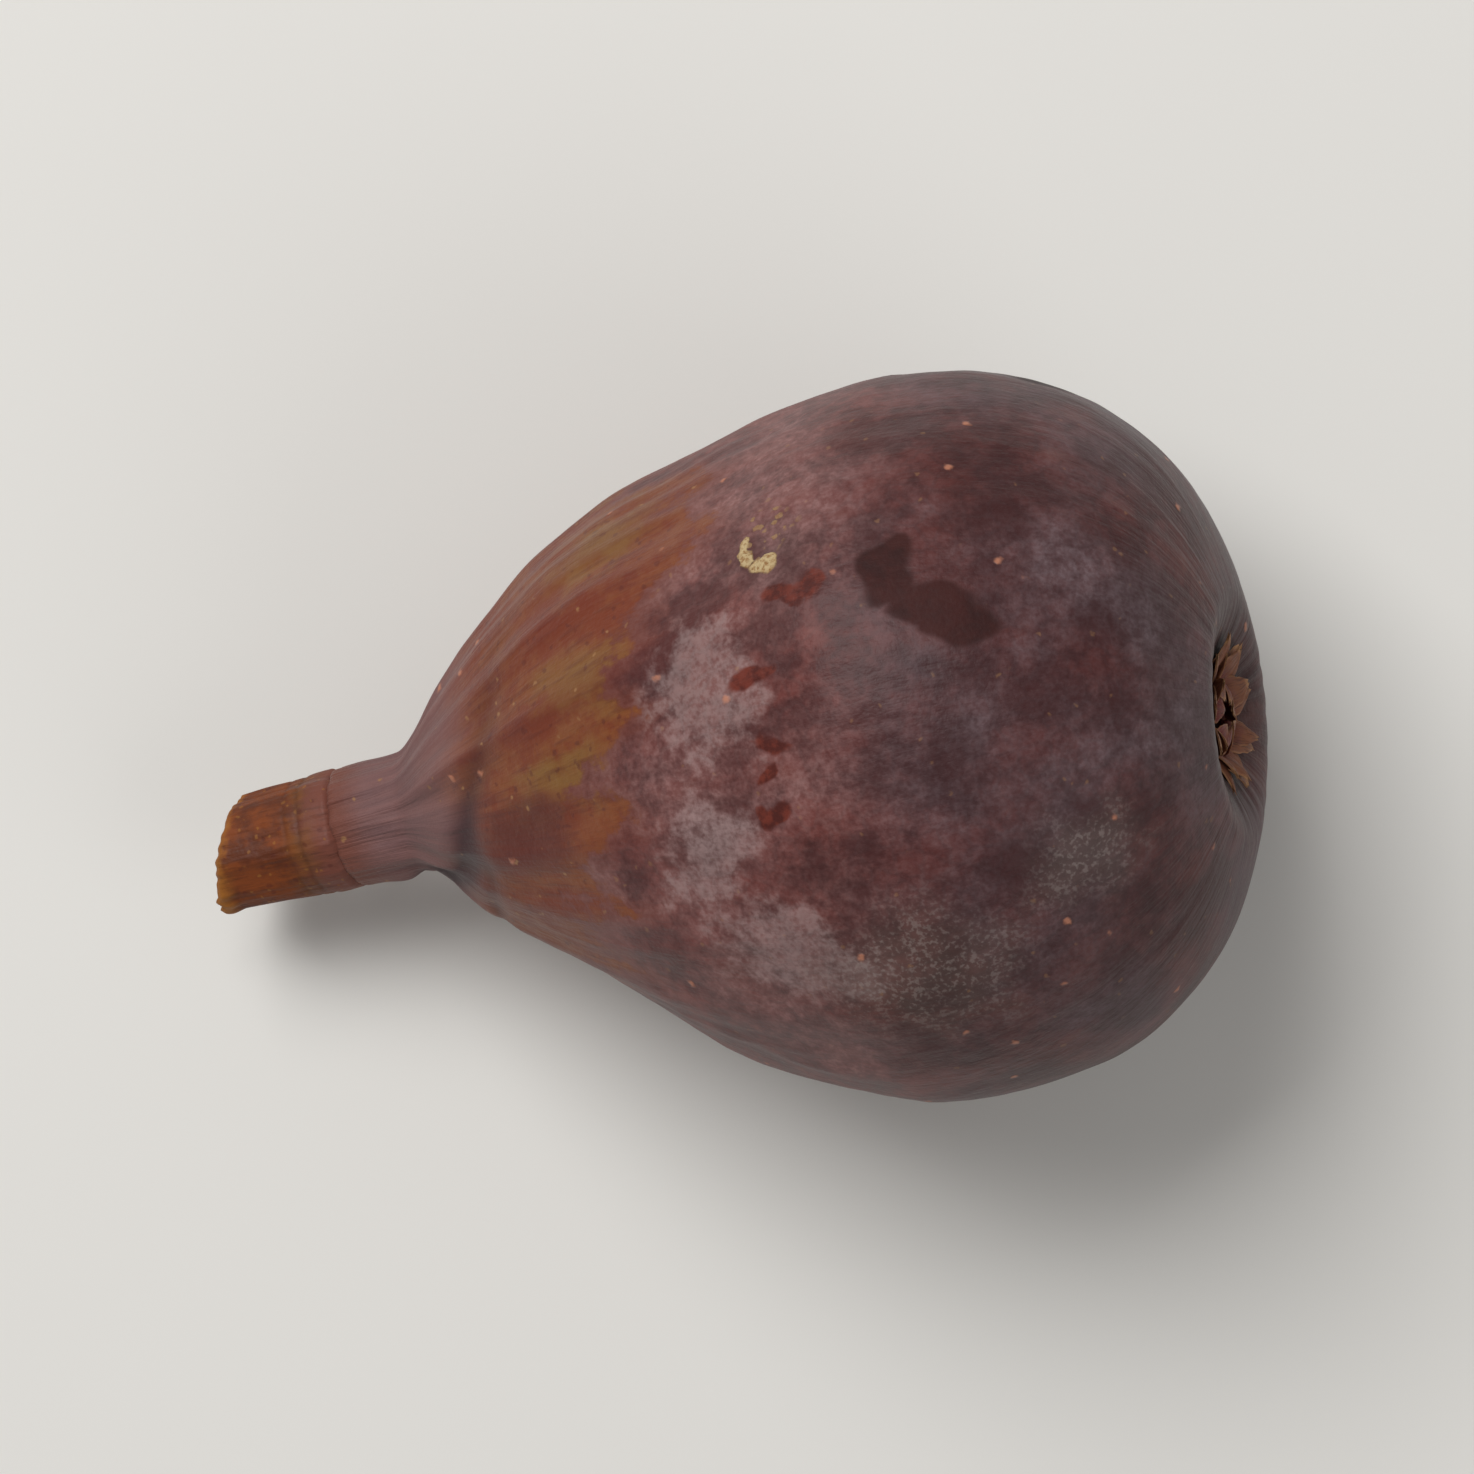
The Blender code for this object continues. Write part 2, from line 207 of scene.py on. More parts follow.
def ripple_round(angle, distance, count, length, seed, waves=14):
    """A random field in folds along the spine: cosines of whole counts round it that drift along it."""
    draw = np.random.default_rng(seed)
    field = np.zeros(np.broadcast(angle, distance).shape)
    for _ in range(waves):
        here = round(count * draw.uniform(0.6, 1.4))
        drift = TURN / length * draw.uniform(-1.0, 1.0)
        field += np.cos(here * angle + drift * distance + draw.uniform(0.0, TURN))
    return field / math.sqrt(waves / 2.0)


def spine(distance):
    """Points of the spine at the given distances, with the unit vectors to its side (+Y) and to its top."""
    along = np.arange(0.0, SPINE_LENGTH, SPINE_STEP)
    turned = smooth_step(along, *BEND)
    course = BODY_COURSE + (NECK_COURSE - BODY_COURSE) * turned
    slope = BODY_SLOPE + (NECK_SLOPE - BODY_SLOPE) * turned
    ahead = np.stack([-np.cos(slope) * np.cos(course), -np.cos(slope) * np.sin(course), -np.sin(slope)], 1)
    side = np.stack([-np.sin(course), np.cos(course), np.zeros_like(course)], 1)
    top = np.cross(side, ahead)
    points = np.array(SPINE_START) + (np.cumsum(ahead, 0) - ahead[0]) * SPINE_STEP

    def at_distance(vectors):
        return np.stack([np.interp(distance, along, vectors[:, k]) for k in range(3)], -1)

    return at_distance(points), at_distance(side), at_distance(top)


def around_spine(distance, angle, radius, height_to_width=1.0):
    """The points at these distances along the spine, angles round it and radii from it."""
    centre, side, top = spine(distance)
    across = side * np.cos(angle)[..., None] + top * (height_to_width * np.sin(angle))[..., None]
    return centre + radius[..., None] * across


def neck_radius(distance):
    """The neck narrows evenly from where the flesh ends."""
    return NECK_RADIUS - NECK_TAPER * np.maximum(distance - FLESH_END, 0.0)


def body_radius(distance):
    """Radius from the widest place to the neck: the flesh thins along a power curve and ends in the neck."""
    share = np.clip((distance - WIDEST_AT) / (FLESH_END - WIDEST_AT), 0.0, 1.0)
    flesh = BODY_RADIUS * (1.0 - share ** SHOULDER_POWERS[0]) ** SHOULDER_POWERS[1]
    neck = neck_radius(distance) * smooth_step(share * 2.0)
    return (flesh**NECK_BLEND_POWER + neck**NECK_BLEND_POWER) ** (1.0 / NECK_BLEND_POWER)


def eye_end_distance(radius):
    """Distance along the spine of the eye end's skin at a radius: a superellipse with the dimple sunk in."""
    round_end = 1.0 - (1.0 - (radius / BODY_RADIUS) ** EYE_END_POWER) ** (1.0 / EYE_END_POWER)
    dimple = DIMPLE_DEPTH * np.clip(1.0 - (radius / DIMPLE_RADIUS) ** 2, 0.0, 1.0) ** 2
    return WIDEST_AT * round_end + dimple


def evenly_spaced(line, count, weight):
    """A line of points read again at a number of places, closer together where the weight is larger."""
    length = np.linalg.norm(np.diff(line, axis=0), axis=1) * (weight[1:] + weight[:-1]) / 2.0
    gone = np.concatenate([[0.0], np.cumsum(length)])
    places = np.linspace(0.0, gone[-1], count)
    return np.stack([np.interp(places, gone, line[:, k]) for k in range(line.shape[1])], 1)


def skin_profile():
    """The skin's line of (distance, radius): the eye's well, the eye end, the flank and the neck's end."""
    turn = np.linspace(0.004, math.pi / 2.0, 900)
    radius = BODY_RADIUS * np.sin(turn)
    well = WELL_DEPTH * (1.0 - smooth_step(radius, *WELL_RADII))
    drawn_in = EYE_END_INSET * (1.0 - smooth_step(radius, *EYE_END_INSET_RADII))
    eye_end = np.stack([eye_end_distance(radius) + well + drawn_in, radius], 1)
    at = np.linspace(WIDEST_AT, NECK_END - NECK_END_ROUNDING, 900)[1:]
    flank = np.stack([at, body_radius(at)], 1)
    bend = np.linspace(0.0, math.pi / 2.0, 20)[1:]
    rim = neck_radius(NECK_END) - NECK_END_ROUNDING + NECK_END_ROUNDING * np.cos(bend)
    rounded = np.stack([NECK_END - NECK_END_ROUNDING + NECK_END_ROUNDING * np.sin(bend), rim], 1)
    closing = np.stack([np.full(4, NECK_END), rim[-1] * np.array([0.8, 0.5, 0.2, 0.05])], 1)
    line = np.concatenate([eye_end, flank, rounded, closing])
    finer = 1.0 + 0.7 * (1.0 - smooth_step(line[:, 1], *FINER_RINGS_RADII))
    return evenly_spaced(line, SKIN_RINGS, finer)


def rib_twist(distance):
    """How far the ribs have turned round the fig at a distance, evenly from its widest place on."""
    return RIB_TWIST * (distance - WIDEST_AT) / (FLESH_END - WIDEST_AT)


def main_ribs(distance, angle):
    """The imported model's ribs: a bell curve across each rib's own turning line, 1 on the strongest crest."""
    draw = np.random.default_rng(RIB_SEED)
    ribs = np.zeros(angle.shape)
    for k in range(RIB_COUNT):
        middle = (k + draw.uniform(-RIB_SPREAD, RIB_SPREAD)) * TURN / RIB_COUNT
        strength = draw.uniform(0.55, 1.0)
        ribs += strength * bell(apart(angle, middle + rib_twist(distance)), RIB_WIDTH)
    return ribs


def fine_ribs(distance, angle):
    """Narrow ribs between the main ones, wandering a little and coming and going along the fig."""
    draw = np.random.default_rng(RIB_SEED + 4)
    ribs = np.zeros(angle.shape)
    for _ in range(FINE_RIBS):
        middle, phase, length = draw.uniform(0.0, TURN), draw.uniform(0.0, TURN), draw.uniform(9.0, 22.0)
        wander = math.radians(1.6) * np.sin(TURN * distance / length + phase)
        shown = 0.5 + 0.5 * np.sin(TURN * distance / draw.uniform(18.0, 45.0) + draw.uniform(0.0, TURN))
        line = middle + rib_twist(distance) + wander
        ribs += draw.uniform(0.4, 1.0) * shown * bell(apart(angle, line), FINE_RIB_WIDTH)
    return ribs


def warped(points):
    """The points moved a little by random waves, which makes a mark that is worked out from them uneven."""
    moved = points.copy()
    for wavelength, reach in SPOT_WARP:
        for axis in range(3):
            moved[..., axis] += reach * ripple(points, wavelength, int(100 * wavelength) + axis)
    return moved


def spot_depth(points, angle, spots):
    """How deep a point lies in the nearest of some ellipses seen from above: 1 in a middle, 0 at an edge."""
    deepest = np.full(angle.shape, -1.0)
    for (x, y), (half_length, half_width), turn in spots:
        turn = math.radians(turn)
        east, north = points[..., 0] - x, points[..., 1] - y
        length = (east * math.cos(turn) + north * math.sin(turn)) / half_length
        width = (north * math.cos(turn) - east * math.sin(turn)) / half_width
        deepest = np.maximum(deepest, 1.0 - np.hypot(length, width))
    return np.where(np.sin(angle) > 0.0, deepest, -1.0)


def hidden_spots(points):
    """The same depth for round spots strewn over the sides and the underside by a seeded draw."""
    draw = np.random.default_rng(SEEDS["hidden spots"])
    deepest = np.full(points.shape[:-1], -1.0)
    for _ in range(HIDDEN_SPOTS):
        at = np.array(draw.uniform(*HIDDEN_SPOTS_ALONG))
        round_at = np.array(draw.uniform(*HIDDEN_SPOTS_ROUND))
        middle = around_spine(at, round_at, body_radius(at), HEIGHT_TO_WIDTH)
        size = draw.uniform(*HIDDEN_SPOT_SIZES)
        deepest = np.maximum(deepest, 1.0 - np.linalg.norm(points - middle, axis=-1) / size)
    return deepest


def skin_sheet():
    """The skin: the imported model's form with finer ribs, puckers, folds, creases, dents and a scab.

    The radius is that of the profile, plus the lobes (cosines of whole counts), the ribs (bell curves across
    their lines), the puckers, folds and dents (random waves) and the scab, less the creases (bell curves
    across slanting lines) and an inset that makes room for all of them. What rises is faded in and out along
    the spine, and the underside is cut level where the fig rests.
    """
    profile = skin_profile()
    distance, angle = np.meshgrid(profile[:, 0], np.arange(SKIN_ROUND) * TURN / SKIN_ROUND, indexing="ij")
    radius = np.broadcast_to(profile[:, 1:], angle.shape)
    flattened = 1.0 - (1.0 - HEIGHT_TO_WIDTH) * smooth_step(radius, *FLATTENED_RADII)
    plain = around_spine(distance, angle, radius, flattened)

    on_eye_end = distance < WIDEST_AT
    away_from_eye = np.where(on_eye_end, smooth_step(radius, 4.0, 9.0), 1.0)
    on_neck = smooth_step(distance, 46.0, 51.0)
    lobes = sum(share * np.cos(waves * angle + turn) for waves, share, turn in LOBES)
    lobes = lobes * radius * smooth_step(radius, *LOBE_RADII)
    crests = main_ribs(distance, angle)
    rib_rise = smooth_step(distance, *RIBS_RISE)
    rib_rise = rib_rise * (1.0 - (1.0 - RIB_SHARE_ON_NECK) * smooth_step(distance, *RIBS_SINK))
    small_crests = fine_ribs(distance, angle)
    small_rise = (0.45 + 0.55 * smooth_step(distance, 14.0, 36.0)) * (1.0 - 0.55 * on_neck) * away_from_eye
    inner, full, fading, outer = PUCKER_RADII
    round_eye = smooth_step(radius, inner, full) * (1.0 - smooth_step(radius, fading, outer)) * on_eye_end
    puckers = 0.55 * crests + 0.5 * ripple_round(angle, distance, PUCKERS, 30.0, SEEDS["puckers"])
    folds = ripple_round(angle, distance, NECK_FOLDS, NECK_FOLD_LENGTH, SEEDS["neck folds"])
    folds = folds * smooth_step(distance, *NECK_FOLDS_RISE)
    folds = folds * (1.0 - 0.8 * smooth_step(distance, *NECK_FOLDS_FADE))
    creases = np.zeros(angle.shape)
    for at, slant, depth, half_width, middle, half_span in CREASES:
        off = apart(angle, math.radians(middle)) / math.radians(half_span)
        line = at + slant * off + 0.25 * ripple_round(angle, 0.0 * distance, 7, 20.0, SEEDS["creases"])
        creases += depth * bell(distance - line, half_width) * bell(off, 0.75)
    dents = sum(height * ripple(plain, wavelength, int(wavelength * 10)) for wavelength, height in DENTS)
    uneven = warped(plain)
    scab = spot_depth(uneven, angle, SCAB_SPOTS)
    crust = 0.75 + 0.45 * ripple(plain, 0.95, SEEDS["scab"])
    scab_rise = SCAB_HEIGHT * smooth_step(scab, -0.1, 0.5) * crust

    offset = lobes + RIB_HEIGHT * rib_rise * crests + FINE_RIB_HEIGHT * small_rise * small_crests
    offset = offset + PUCKER_HEIGHT * round_eye * puckers + NECK_FOLD_HEIGHT * folds - creases
    offset = offset + (dents - SKIN_INSET) * away_from_eye + scab_rise
    offset = offset * smooth_step(radius, 0.0, 2.0)
    points = around_spine(distance, angle, radius + offset, flattened)
    points[..., 2] = np.maximum(points[..., 2], 0.0)

    at, swing, nearest = SHOULDER_EDGE
    edge = at - swing * np.cos(angle - nearest)
    edge = edge + 1.3 * ripple_round(angle, distance, 4, 40.0, SEEDS["shoulder edge"])
    edge = edge + 0.9 * ripple_round(angle, distance, 15, 14.0, SEEDS["shoulder fringe"])
    at, swing, nearest = ROSY_EDGE
    rosy_edge = at - swing * np.cos(angle - nearest)
    rosy_edge = rosy_edge + 0.5 * ripple_round(angle, distance, 9, 12.0, SEEDS["rosy edge"])
    rubbed = spot_depth(uneven, angle, RUBBED_SPOTS)
    rubbed = np.maximum(rubbed, hidden_spots(uneven))
    faint = spot_depth(uneven, angle, FAINT_SPOTS)
    marks = {
        "shoulder": smooth_step(distance, edge - 8.0, edge + 7.0),
        "neck": smooth_step(distance, rosy_edge - 3.0, rosy_edge + 1.6),
        "neck_tip": smooth_step(distance, 53.5, 57.0),
        "eye_end": 1.0 - smooth_step(distance, 12.5, 26.0),
        "eye_rim": (1.0 - smooth_step(radius, 4.0, 9.0)) * on_eye_end,
        "crest": np.clip(rib_rise * crests + 0.5 * small_rise * small_crests, 0.0, 1.0),
        # painted shade: darker in the neck's creases and in the hollows between the puckers round the eye
        "crease_shade": np.clip(creases * 2.1 + 0.5 * np.maximum(-puckers * round_eye, 0.0), 0.0, 1.0),
        "rubbed": np.maximum(rubbed, faint),
        "faint": faint,
        "olive": spot_depth(uneven, angle, OLIVE_SPOTS),
        "red": spot_depth(uneven, angle, RED_SPOTS),
        "mottled": spot_depth(uneven, angle, MOTTLED_SPOTS),
        "scab": scab,
        "grit": spot_depth(uneven, angle, GRIT_SPOTS),
        "dusted": spot_depth(uneven, angle, DUSTED_SPOTS),
    }
    round_at = angle - rib_twist(distance)
    grain = np.stack([12.0 * np.cos(round_at), 12.0 * np.sin(round_at), 0.14 * distance], -1)
    return points, marks, {"grain": grain}


def stalk_sheet():
    """The stub of the stalk: a striped tube with a swollen base and a slanting, frayed, slightly dished cut.

    The radius is the neck's, less what is drawn in and rounded off at the rim, plus the collar, ridges,
    stripes and lip. The cut is a line of distances that goes with the cosine of the angle, and its face is
    drawn from the rim to the middle, sunk along the stalk and raised again at the pith.
    """
    angle = np.arange(STALK_ROUND) * TURN / STALK_ROUND
    frayed = 0.05 * ripple_round(angle, 0.0 * angle, 24, 10.0, SEEDS["cut fringe"])
    frayed = frayed + 0.05 * ripple_round(angle, 0.0 * angle, 7, 10.0, SEEDS["cut waves"])
    cut = STALK_CUT_AT - CUT_DRAWN_IN - STALK_CUT_SLANT * np.cos(angle) + frayed
    share = np.linspace(0.0, 1.0, STALK_RINGS)[:, None]
    distance = STALK_BASE + (cut - STALK_BASE) * share
    around = np.broadcast_to(angle, distance.shape)
    ridges = sum(height * np.cos(count * angle + turn) for count, height, turn in STALK_RIDGES)
    stripes = 0.016 * ripple_round(around, distance, 30, 8.0, SEEDS["stripes"])
    stripes = stripes + 0.03 * ripple_round(around, distance, 5, 5.0, SEEDS["swellings"])
    from_base = distance - STALK_BASE
    collar = COLLAR_RISE * smooth_step(from_base, 0.0, COLLAR_LENGTH) + 0.07 * bell(from_base - 1.9, 0.9)
    raised = bell(apart(around, LIP_AT), LIP_WIDTH) * smooth_step(distance, cut - 1.5, cut - 0.5)
    rounded = RIM_ROUNDING * smooth_step(share, 1.0 - RIM_ROUNDED / (STALK_CUT_AT - STALK_BASE), 1.0) ** 2
    radius = neck_radius(distance) - STALK_DRAWN_IN + collar + ridges * 0.9 + stripes
    radius = radius + LIP_HEIGHT * raised - rounded
    scar = sum(strength * bell(from_base - at, width) for at, width, strength in SCARS)
    tube = around_spine(distance, around, radius - SCAR_DEPTH * scar)
    rim = tube[-1]
    middle = rim.mean(0)
    ahead = spine(np.array(STALK_CUT_AT))[0] - spine(np.array(STALK_CUT_AT - 1.0))[0]
    inward = np.linspace(0.0, 1.0, CUT_RINGS + 1)[1:, None]
    on_cut = np.broadcast_to(angle, (CUT_RINGS, STALK_ROUND))
    sunk = DISH_DEPTH * smooth_step(inward, 0.02, 0.3) - PITH_RISE * smooth_step(inward, 0.55, 0.8)
    fibres = 0.035 * ripple_round(on_cut, inward * 12.0, 26, 9.0, SEEDS["fibres"])
    sunk = sunk + fibres * smooth_step(inward, 0.05, 0.2) * (1.0 - inward)
    face = middle + (rim - middle) * (1.0 - 0.985 * inward)[..., None] - ahead * sunk[..., None]
    points = np.concatenate([tube, face])
    on_tube = np.zeros(distance.shape)
    marks = {
        "length": np.concatenate([np.broadcast_to(share, distance.shape), np.ones(on_cut.shape)]),
        "face": np.concatenate([on_tube, np.broadcast_to(inward, on_cut.shape)]),
        "on_face": np.concatenate([on_tube, np.ones(on_cut.shape)]),
        "lip": np.concatenate([raised, np.broadcast_to(raised[-1], on_cut.shape) * (1.0 - inward)]),
        "scar": np.concatenate([np.clip(scar, 0.0, 1.0), np.zeros(on_cut.shape)]),
    }
    depth = np.concatenate([distance, np.broadcast_to(cut, on_cut.shape) + inward])
    turn = np.concatenate([around, on_cut])
    grain = np.stack([4.0 * np.cos(turn), 4.0 * np.sin(turn), 0.16 * depth], -1)
    return points, marks, {"grain": grain}


def blade_sheet(at, path, half_width, thickness, tear, draw):
    """A thin leaf at an angle round the spine: a lens-shaped section carried along a path to a torn tip.

    The path gives (distance, radius) for a share of its length. The width is an arch that narrows to the tip,
    the edges sag with the square of the way across, and cosines across it raise the veins.
    """
    share = np.linspace(0.0, 1.0, BLADE_RINGS)[:, None]
    turn = np.arange(BLADE_ROUND)[None, :] * TURN / BLADE_ROUND
    across = np.cos(turn)
    notches = draw.uniform(0.0, TURN, 4)
    torn = np.sin(5.0 * across + notches[0]) + 0.8 * np.sin(11.0 * across + notches[1])
    reached = share * (1.0 - 0.12 * across**2 + tear * torn * share)
    spots_along, spots_out = path(reached)
    spots = around_spine(spots_along, np.full(reached.shape, at), spots_out)
    along, out = path(share[:, 0])
    _, side, top = spine(along)
    sideways = top * math.cos(at) - side * math.sin(at)
    middle = around_spine(along, np.full(BLADE_RINGS, at), out)
    up = np.cross(np.gradient(middle, axis=0), sideways)
    up /= np.linalg.norm(up, axis=1, keepdims=True)
    ragged = tear * (np.sin(9.0 * share + notches[2]) + 0.7 * np.sin(21.0 * share + notches[3]))
    width = half_width * (0.95 + 0.35 * share - 1.12 * share**2) * (1.0 + ragged * np.sign(across))
    sag = 0.30 * width * across**2 * draw.uniform(-0.4, 1.0) + 0.10 * width * across * draw.uniform(-1.0, 1.0)
    veins = 0.025 * np.cos(13.0 * across) * (1.0 - across**2)
    lens = thickness * (1.0 - 0.55 * share) * np.sin(turn) + veins - sag
    points = spots + sideways[:, None] * (width * across)[..., None] + up[:, None] * lens[..., None]
    flat = np.ones(reached.shape)
    marks = {"tip": share * flat, "edge": np.abs(across) * flat, "tone": draw.uniform() * flat}
    grain = np.stack([across * half_width * 3.0 + 7.0 * at * flat, flat * at, share * 0.8 * flat], -1)
    return points, marks, {"grain": grain}


def bract_sheets():
    """The bracts at the stalk's base, which lie back along the neck."""
    draw = np.random.default_rng(SCALE_SEED + 6)
    sheets = []
    for at in BRACT_ANGLES:
        reach = draw.uniform(0.85, 1.0)

        def path(share, reach=reach):
            distance = BRACT_ROOT + (BRACT_TIP - BRACT_ROOT) * reach * share
            lift = 0.34 + 0.16 * share**2 - 0.85 * smooth_step(distance, NECK_END + 0.6, BRACT_ROOT)
            return distance, neck_radius(distance) + lift

        width = BRACT_HALF_WIDTH * draw.uniform(0.9, 1.1)
        sheets.append(blade_sheet(at, path, width, BRACT_THICKNESS, BRACT_TEAR, draw))
    return sheets


def scale_sheets(row, draw, torn):
    """One ring of the eye's scales, each strayed, stretched and widened by the same draw as in the solid.

    The second draw gives what the solid lacks: torn edges, sag and tone.
    """
    count, root, tip, half_width, ring_turn, thickness, tear = row
    sheets = []
    for k in range(count):
        at = (k + ring_turn + draw.uniform(-SCALE_STRAY, SCALE_STRAY)) * TURN / count
        reach = draw.uniform(*SCALE_REACH)
        width = half_width * draw.uniform(*SCALE_WIDTHS)

        def path(share, reach=reach):
            out = root[0] + (tip[0] - root[0]) * reach * share
            along = root[1] + (tip[1] - root[1]) * reach * share - SCALE_ARCH * np.sin(math.pi * share)
            return along, out

        sheets.append(blade_sheet(at, path, width, thickness, tear, torn))
    return sheets


def bed_sheet():
    """The floor of the eye: a shallow bowl of small buds, closed below."""
    share = np.linspace(0.0, 1.0, BED_RINGS)[:, None]
    angle = np.broadcast_to(np.arange(BED_ROUND) * TURN / BED_ROUND, (BED_RINGS, BED_ROUND))
    spread = evenly_spaced(np.array(BED_LINE), BED_RINGS, np.ones(len(BED_LINE)))
    distance = np.broadcast_to(spread[:, :1], angle.shape)
    radius = np.broadcast_to(spread[:, 1:], angle.shape)
    plain = around_spine(distance, angle, radius)
    buds = ripple(plain, BUD_SIZE, SEEDS["buds"]) * smooth_step(share, 0.5, 0.6)
    points = around_spine(distance - BUD_HEIGHT * buds, angle, radius)
    return points, {"bud": buds}, {}


def make_piece(name, sheets, node):
    """One object from closed sheets, its faces turned outwards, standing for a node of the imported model.

    A sheet is a grid of points, ring by ring, with its marks (a number for each point) and its vectors. The
    rings close on themselves, and a fan of triangles to the ring's middle closes each end.
    """
    points, faces, start = [], [], 0
    marks = {key: [] for key in sheets[0][1]}
    vectors = {key: [] for key in sheets[0][2]}
    for grid, sheet_marks, sheet_vectors in sheets:
        rings, round_count = grid.shape[:2]
        here = np.arange(round_count)
        after = np.roll(here, -1)
        low = np.arange(rings - 1)[:, None] * round_count
        quads = np.stack([low + here, low + round_count + here, low + round_count + after, low + after], -1)
        quads = quads.reshape(-1, 4)
        last = (rings - 1) * round_count
        first_fan = np.stack([here, after, np.full(round_count, rings * round_count)], 1)
        last_fan = np.stack([last + after, last + here, np.full(round_count, rings * round_count + 1)], 1)
        flat = np.concatenate([grid.reshape(-1, 3), grid[:1].mean(1), grid[-1:].mean(1)])
        a, b, c = (flat[quads[:, k]] - flat[0] for k in (0, 1, 2))
        if np.einsum("ij,ij->i", a, np.cross(b, c)).sum() < 0.0:
            quads, first_fan, last_fan = quads[:, ::-1], first_fan[:, ::-1], last_fan[:, ::-1]
        faces += (quads + start).tolist() + (first_fan + start).tolist() + (last_fan + start).tolist()
        points.append(flat)
        start += len(flat)
        for key, value in sheet_marks.items():
            value = np.broadcast_to(value, grid.shape[:2])
            marks[key].append(np.concatenate([value.ravel(), [value[0].mean()], [value[-1].mean()]]))
        for key, value in sheet_vectors.items():
            vectors[key].append(np.concatenate([value.reshape(-1, 3), value[:1].mean(1), value[-1:].mean(1)]))
    mesh = bpy.data.meshes.new(name)
    mesh.from_pydata((np.concatenate(points) * MM).tolist(), [], faces)
    for key, values in marks.items():
        mesh.attributes.new(key, "FLOAT", "POINT").data.foreach_set("value", np.concatenate(values))
    for key, values in vectors.items():
        held = mesh.attributes.new(key, "FLOAT_VECTOR", "POINT")
        held.data.foreach_set("vector", np.concatenate(values).ravel())
    mesh.shade_smooth()
    piece = bpy.data.objects.new(name, mesh)
    bpy.context.scene.collection.objects.link(piece)
    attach(piece, "root")
    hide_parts(node)
    return piece


def tint(red, green, blue):
    """A colour as the shader takes it, from its usual 0 to 255 values."""
    share = np.array([red, green, blue]) / 255.0
    linear = np.where(share <= 0.04045, share / 12.92, ((share + 0.055) / 1.055) ** 2.4)
    return (*linear.tolist(), 1.0)


class Finish:
    """A material in the making: adds nodes and joins them to its shader."""

    def __init__(self, name):
        self.material = bpy.data.materials.new(name)
        self.material.use_nodes = True
        self.tree = self.material.node_tree
        self.shader = self.tree.nodes["Principled BSDF"]

    def put(self, socket, value):
        """Joins a socket to another node's output, or sets its own value."""
        if isinstance(value, bpy.types.NodeSocket):
            self.tree.links.new(value, socket)
        else:
            socket.default_value = value

    def node(self, kind, inputs, **settings):
        """Adds a node of this kind, with its inputs joined or set."""
        made = self.tree.nodes.new("ShaderNode" + kind)
        for name, value in settings.items():
            setattr(made, name, value)
        for name, value in inputs.items():
            self.put(made.inputs[name], value)
        return made

    def place(self):
        """Where a point lies on the object, in millimetres."""
        held = self.node("TexCoord", {}).outputs["Object"]
        scale = (1.0 / MM, 1.0 / MM, 1.0 / MM)
        return self.node("Mapping", {"Vector": held, "Scale": scale}).outputs["Vector"]

    def mark(self, name, output="Fac"):
        """A mark that the piece's points carry."""
        return self.node("Attribute", {}, attribute_name=name).outputs[output]

    def noise(self, vector, wavelength, detail=2.0, roughness=0.5):
        """A cloudy random field of about 0 to 1 with this wavelength in millimetres."""
        sizes = {"Vector": vector, "Scale": 1.0 / wavelength, "Detail": detail, "Roughness": roughness}
        return self.node("TexNoise", sizes).outputs["Fac"]

    def cells(self, vector, size, feature="F1"):
        """How far a point lies from the middle, or from the edge, of its random cell."""
        sizes = {"Vector": vector, "Scale": 1.0 / size}
        return self.node("TexVoronoi", sizes, feature=feature).outputs["Distance"]

    def warped(self, vector, wavelength, reach):
        """The place pushed about by a noise, so that what is worked out from it has uneven edges."""
        sizes = {"Vector": vector, "Scale": 1.0 / wavelength, "Detail": 2.0}
        pushed = self.node("TexNoise", sizes).outputs["Color"]
        inputs = {0: pushed, 1: (reach, reach, reach), 2: vector}
        return self.node("VectorMath", inputs, operation="MULTIPLY_ADD").outputs["Vector"]

    def between(self, value, low, high, to_low=0.0, to_high=1.0):
        """Goes smoothly from one value to another while its input goes from low to high."""
        inputs = {"Value": value, "From Min": low, "From Max": high, "To Min": to_low, "To Max": to_high}
        return self.node("MapRange", inputs, interpolation_type="SMOOTHSTEP").outputs["Result"]

    def swing(self, noise, reach):
        """The noise about its middle: half of the reach up and down."""
        return self.product(self.sum(noise, -0.5), reach)

    def sum(self, *values):
        """All values added up."""
        total = values[0]
        for value in values[1:]:
            total = self.node("Math", {0: total, 1: value}, operation="ADD").outputs[0]
        return total

    def product(self, *values):
        """All values multiplied."""
        total = values[0]
        for value in values[1:]:
            total = self.node("Math", {0: total, 1: value}, operation="MULTIPLY").outputs[0]
        return total

    def blend(self, share, colour, other):
        """The first colour where the share is 0 and the other where it is 1."""
        inputs = {0: share, 6: colour, 7: other}
        return self.node("Mix", inputs, data_type="RGBA").outputs[2]

    def bump(self, height, rise):
        """Raises the surface by a height of 0 to 1, in millimetres."""
        return self.node("Bump", {"Height": height, "Distance": rise * MM}).outputs["Normal"]


WINE, RED_WINE, DEEP_WINE = tint(66, 25, 24), tint(100, 40, 33), tint(42, 17, 18)
RUSSET, ORANGE_BROWN, OCHRE = tint(92, 40, 28), tint(110, 49, 26), tint(122, 68, 32)
OLIVE, DARK_RED = tint(122, 92, 42), tint(76, 30, 23)
NECK_ROSE, NECK_RED, TIP_ORANGE = tint(106, 63, 54), tint(86, 47, 40), tint(108, 56, 36)
BLOOM, COOL_BLOOM, POWDER = tint(154, 117, 114), tint(128, 112, 117), tint(160, 142, 140)
SPECK, PALE_SPECK = tint(188, 124, 96), tint(150, 110, 72)
CRUMB, CRUMB_DARK, GREY_OLIVE = tint(184, 162, 122), tint(142, 106, 66), tint(88, 76, 70)
FROST = tint(150, 138, 132)
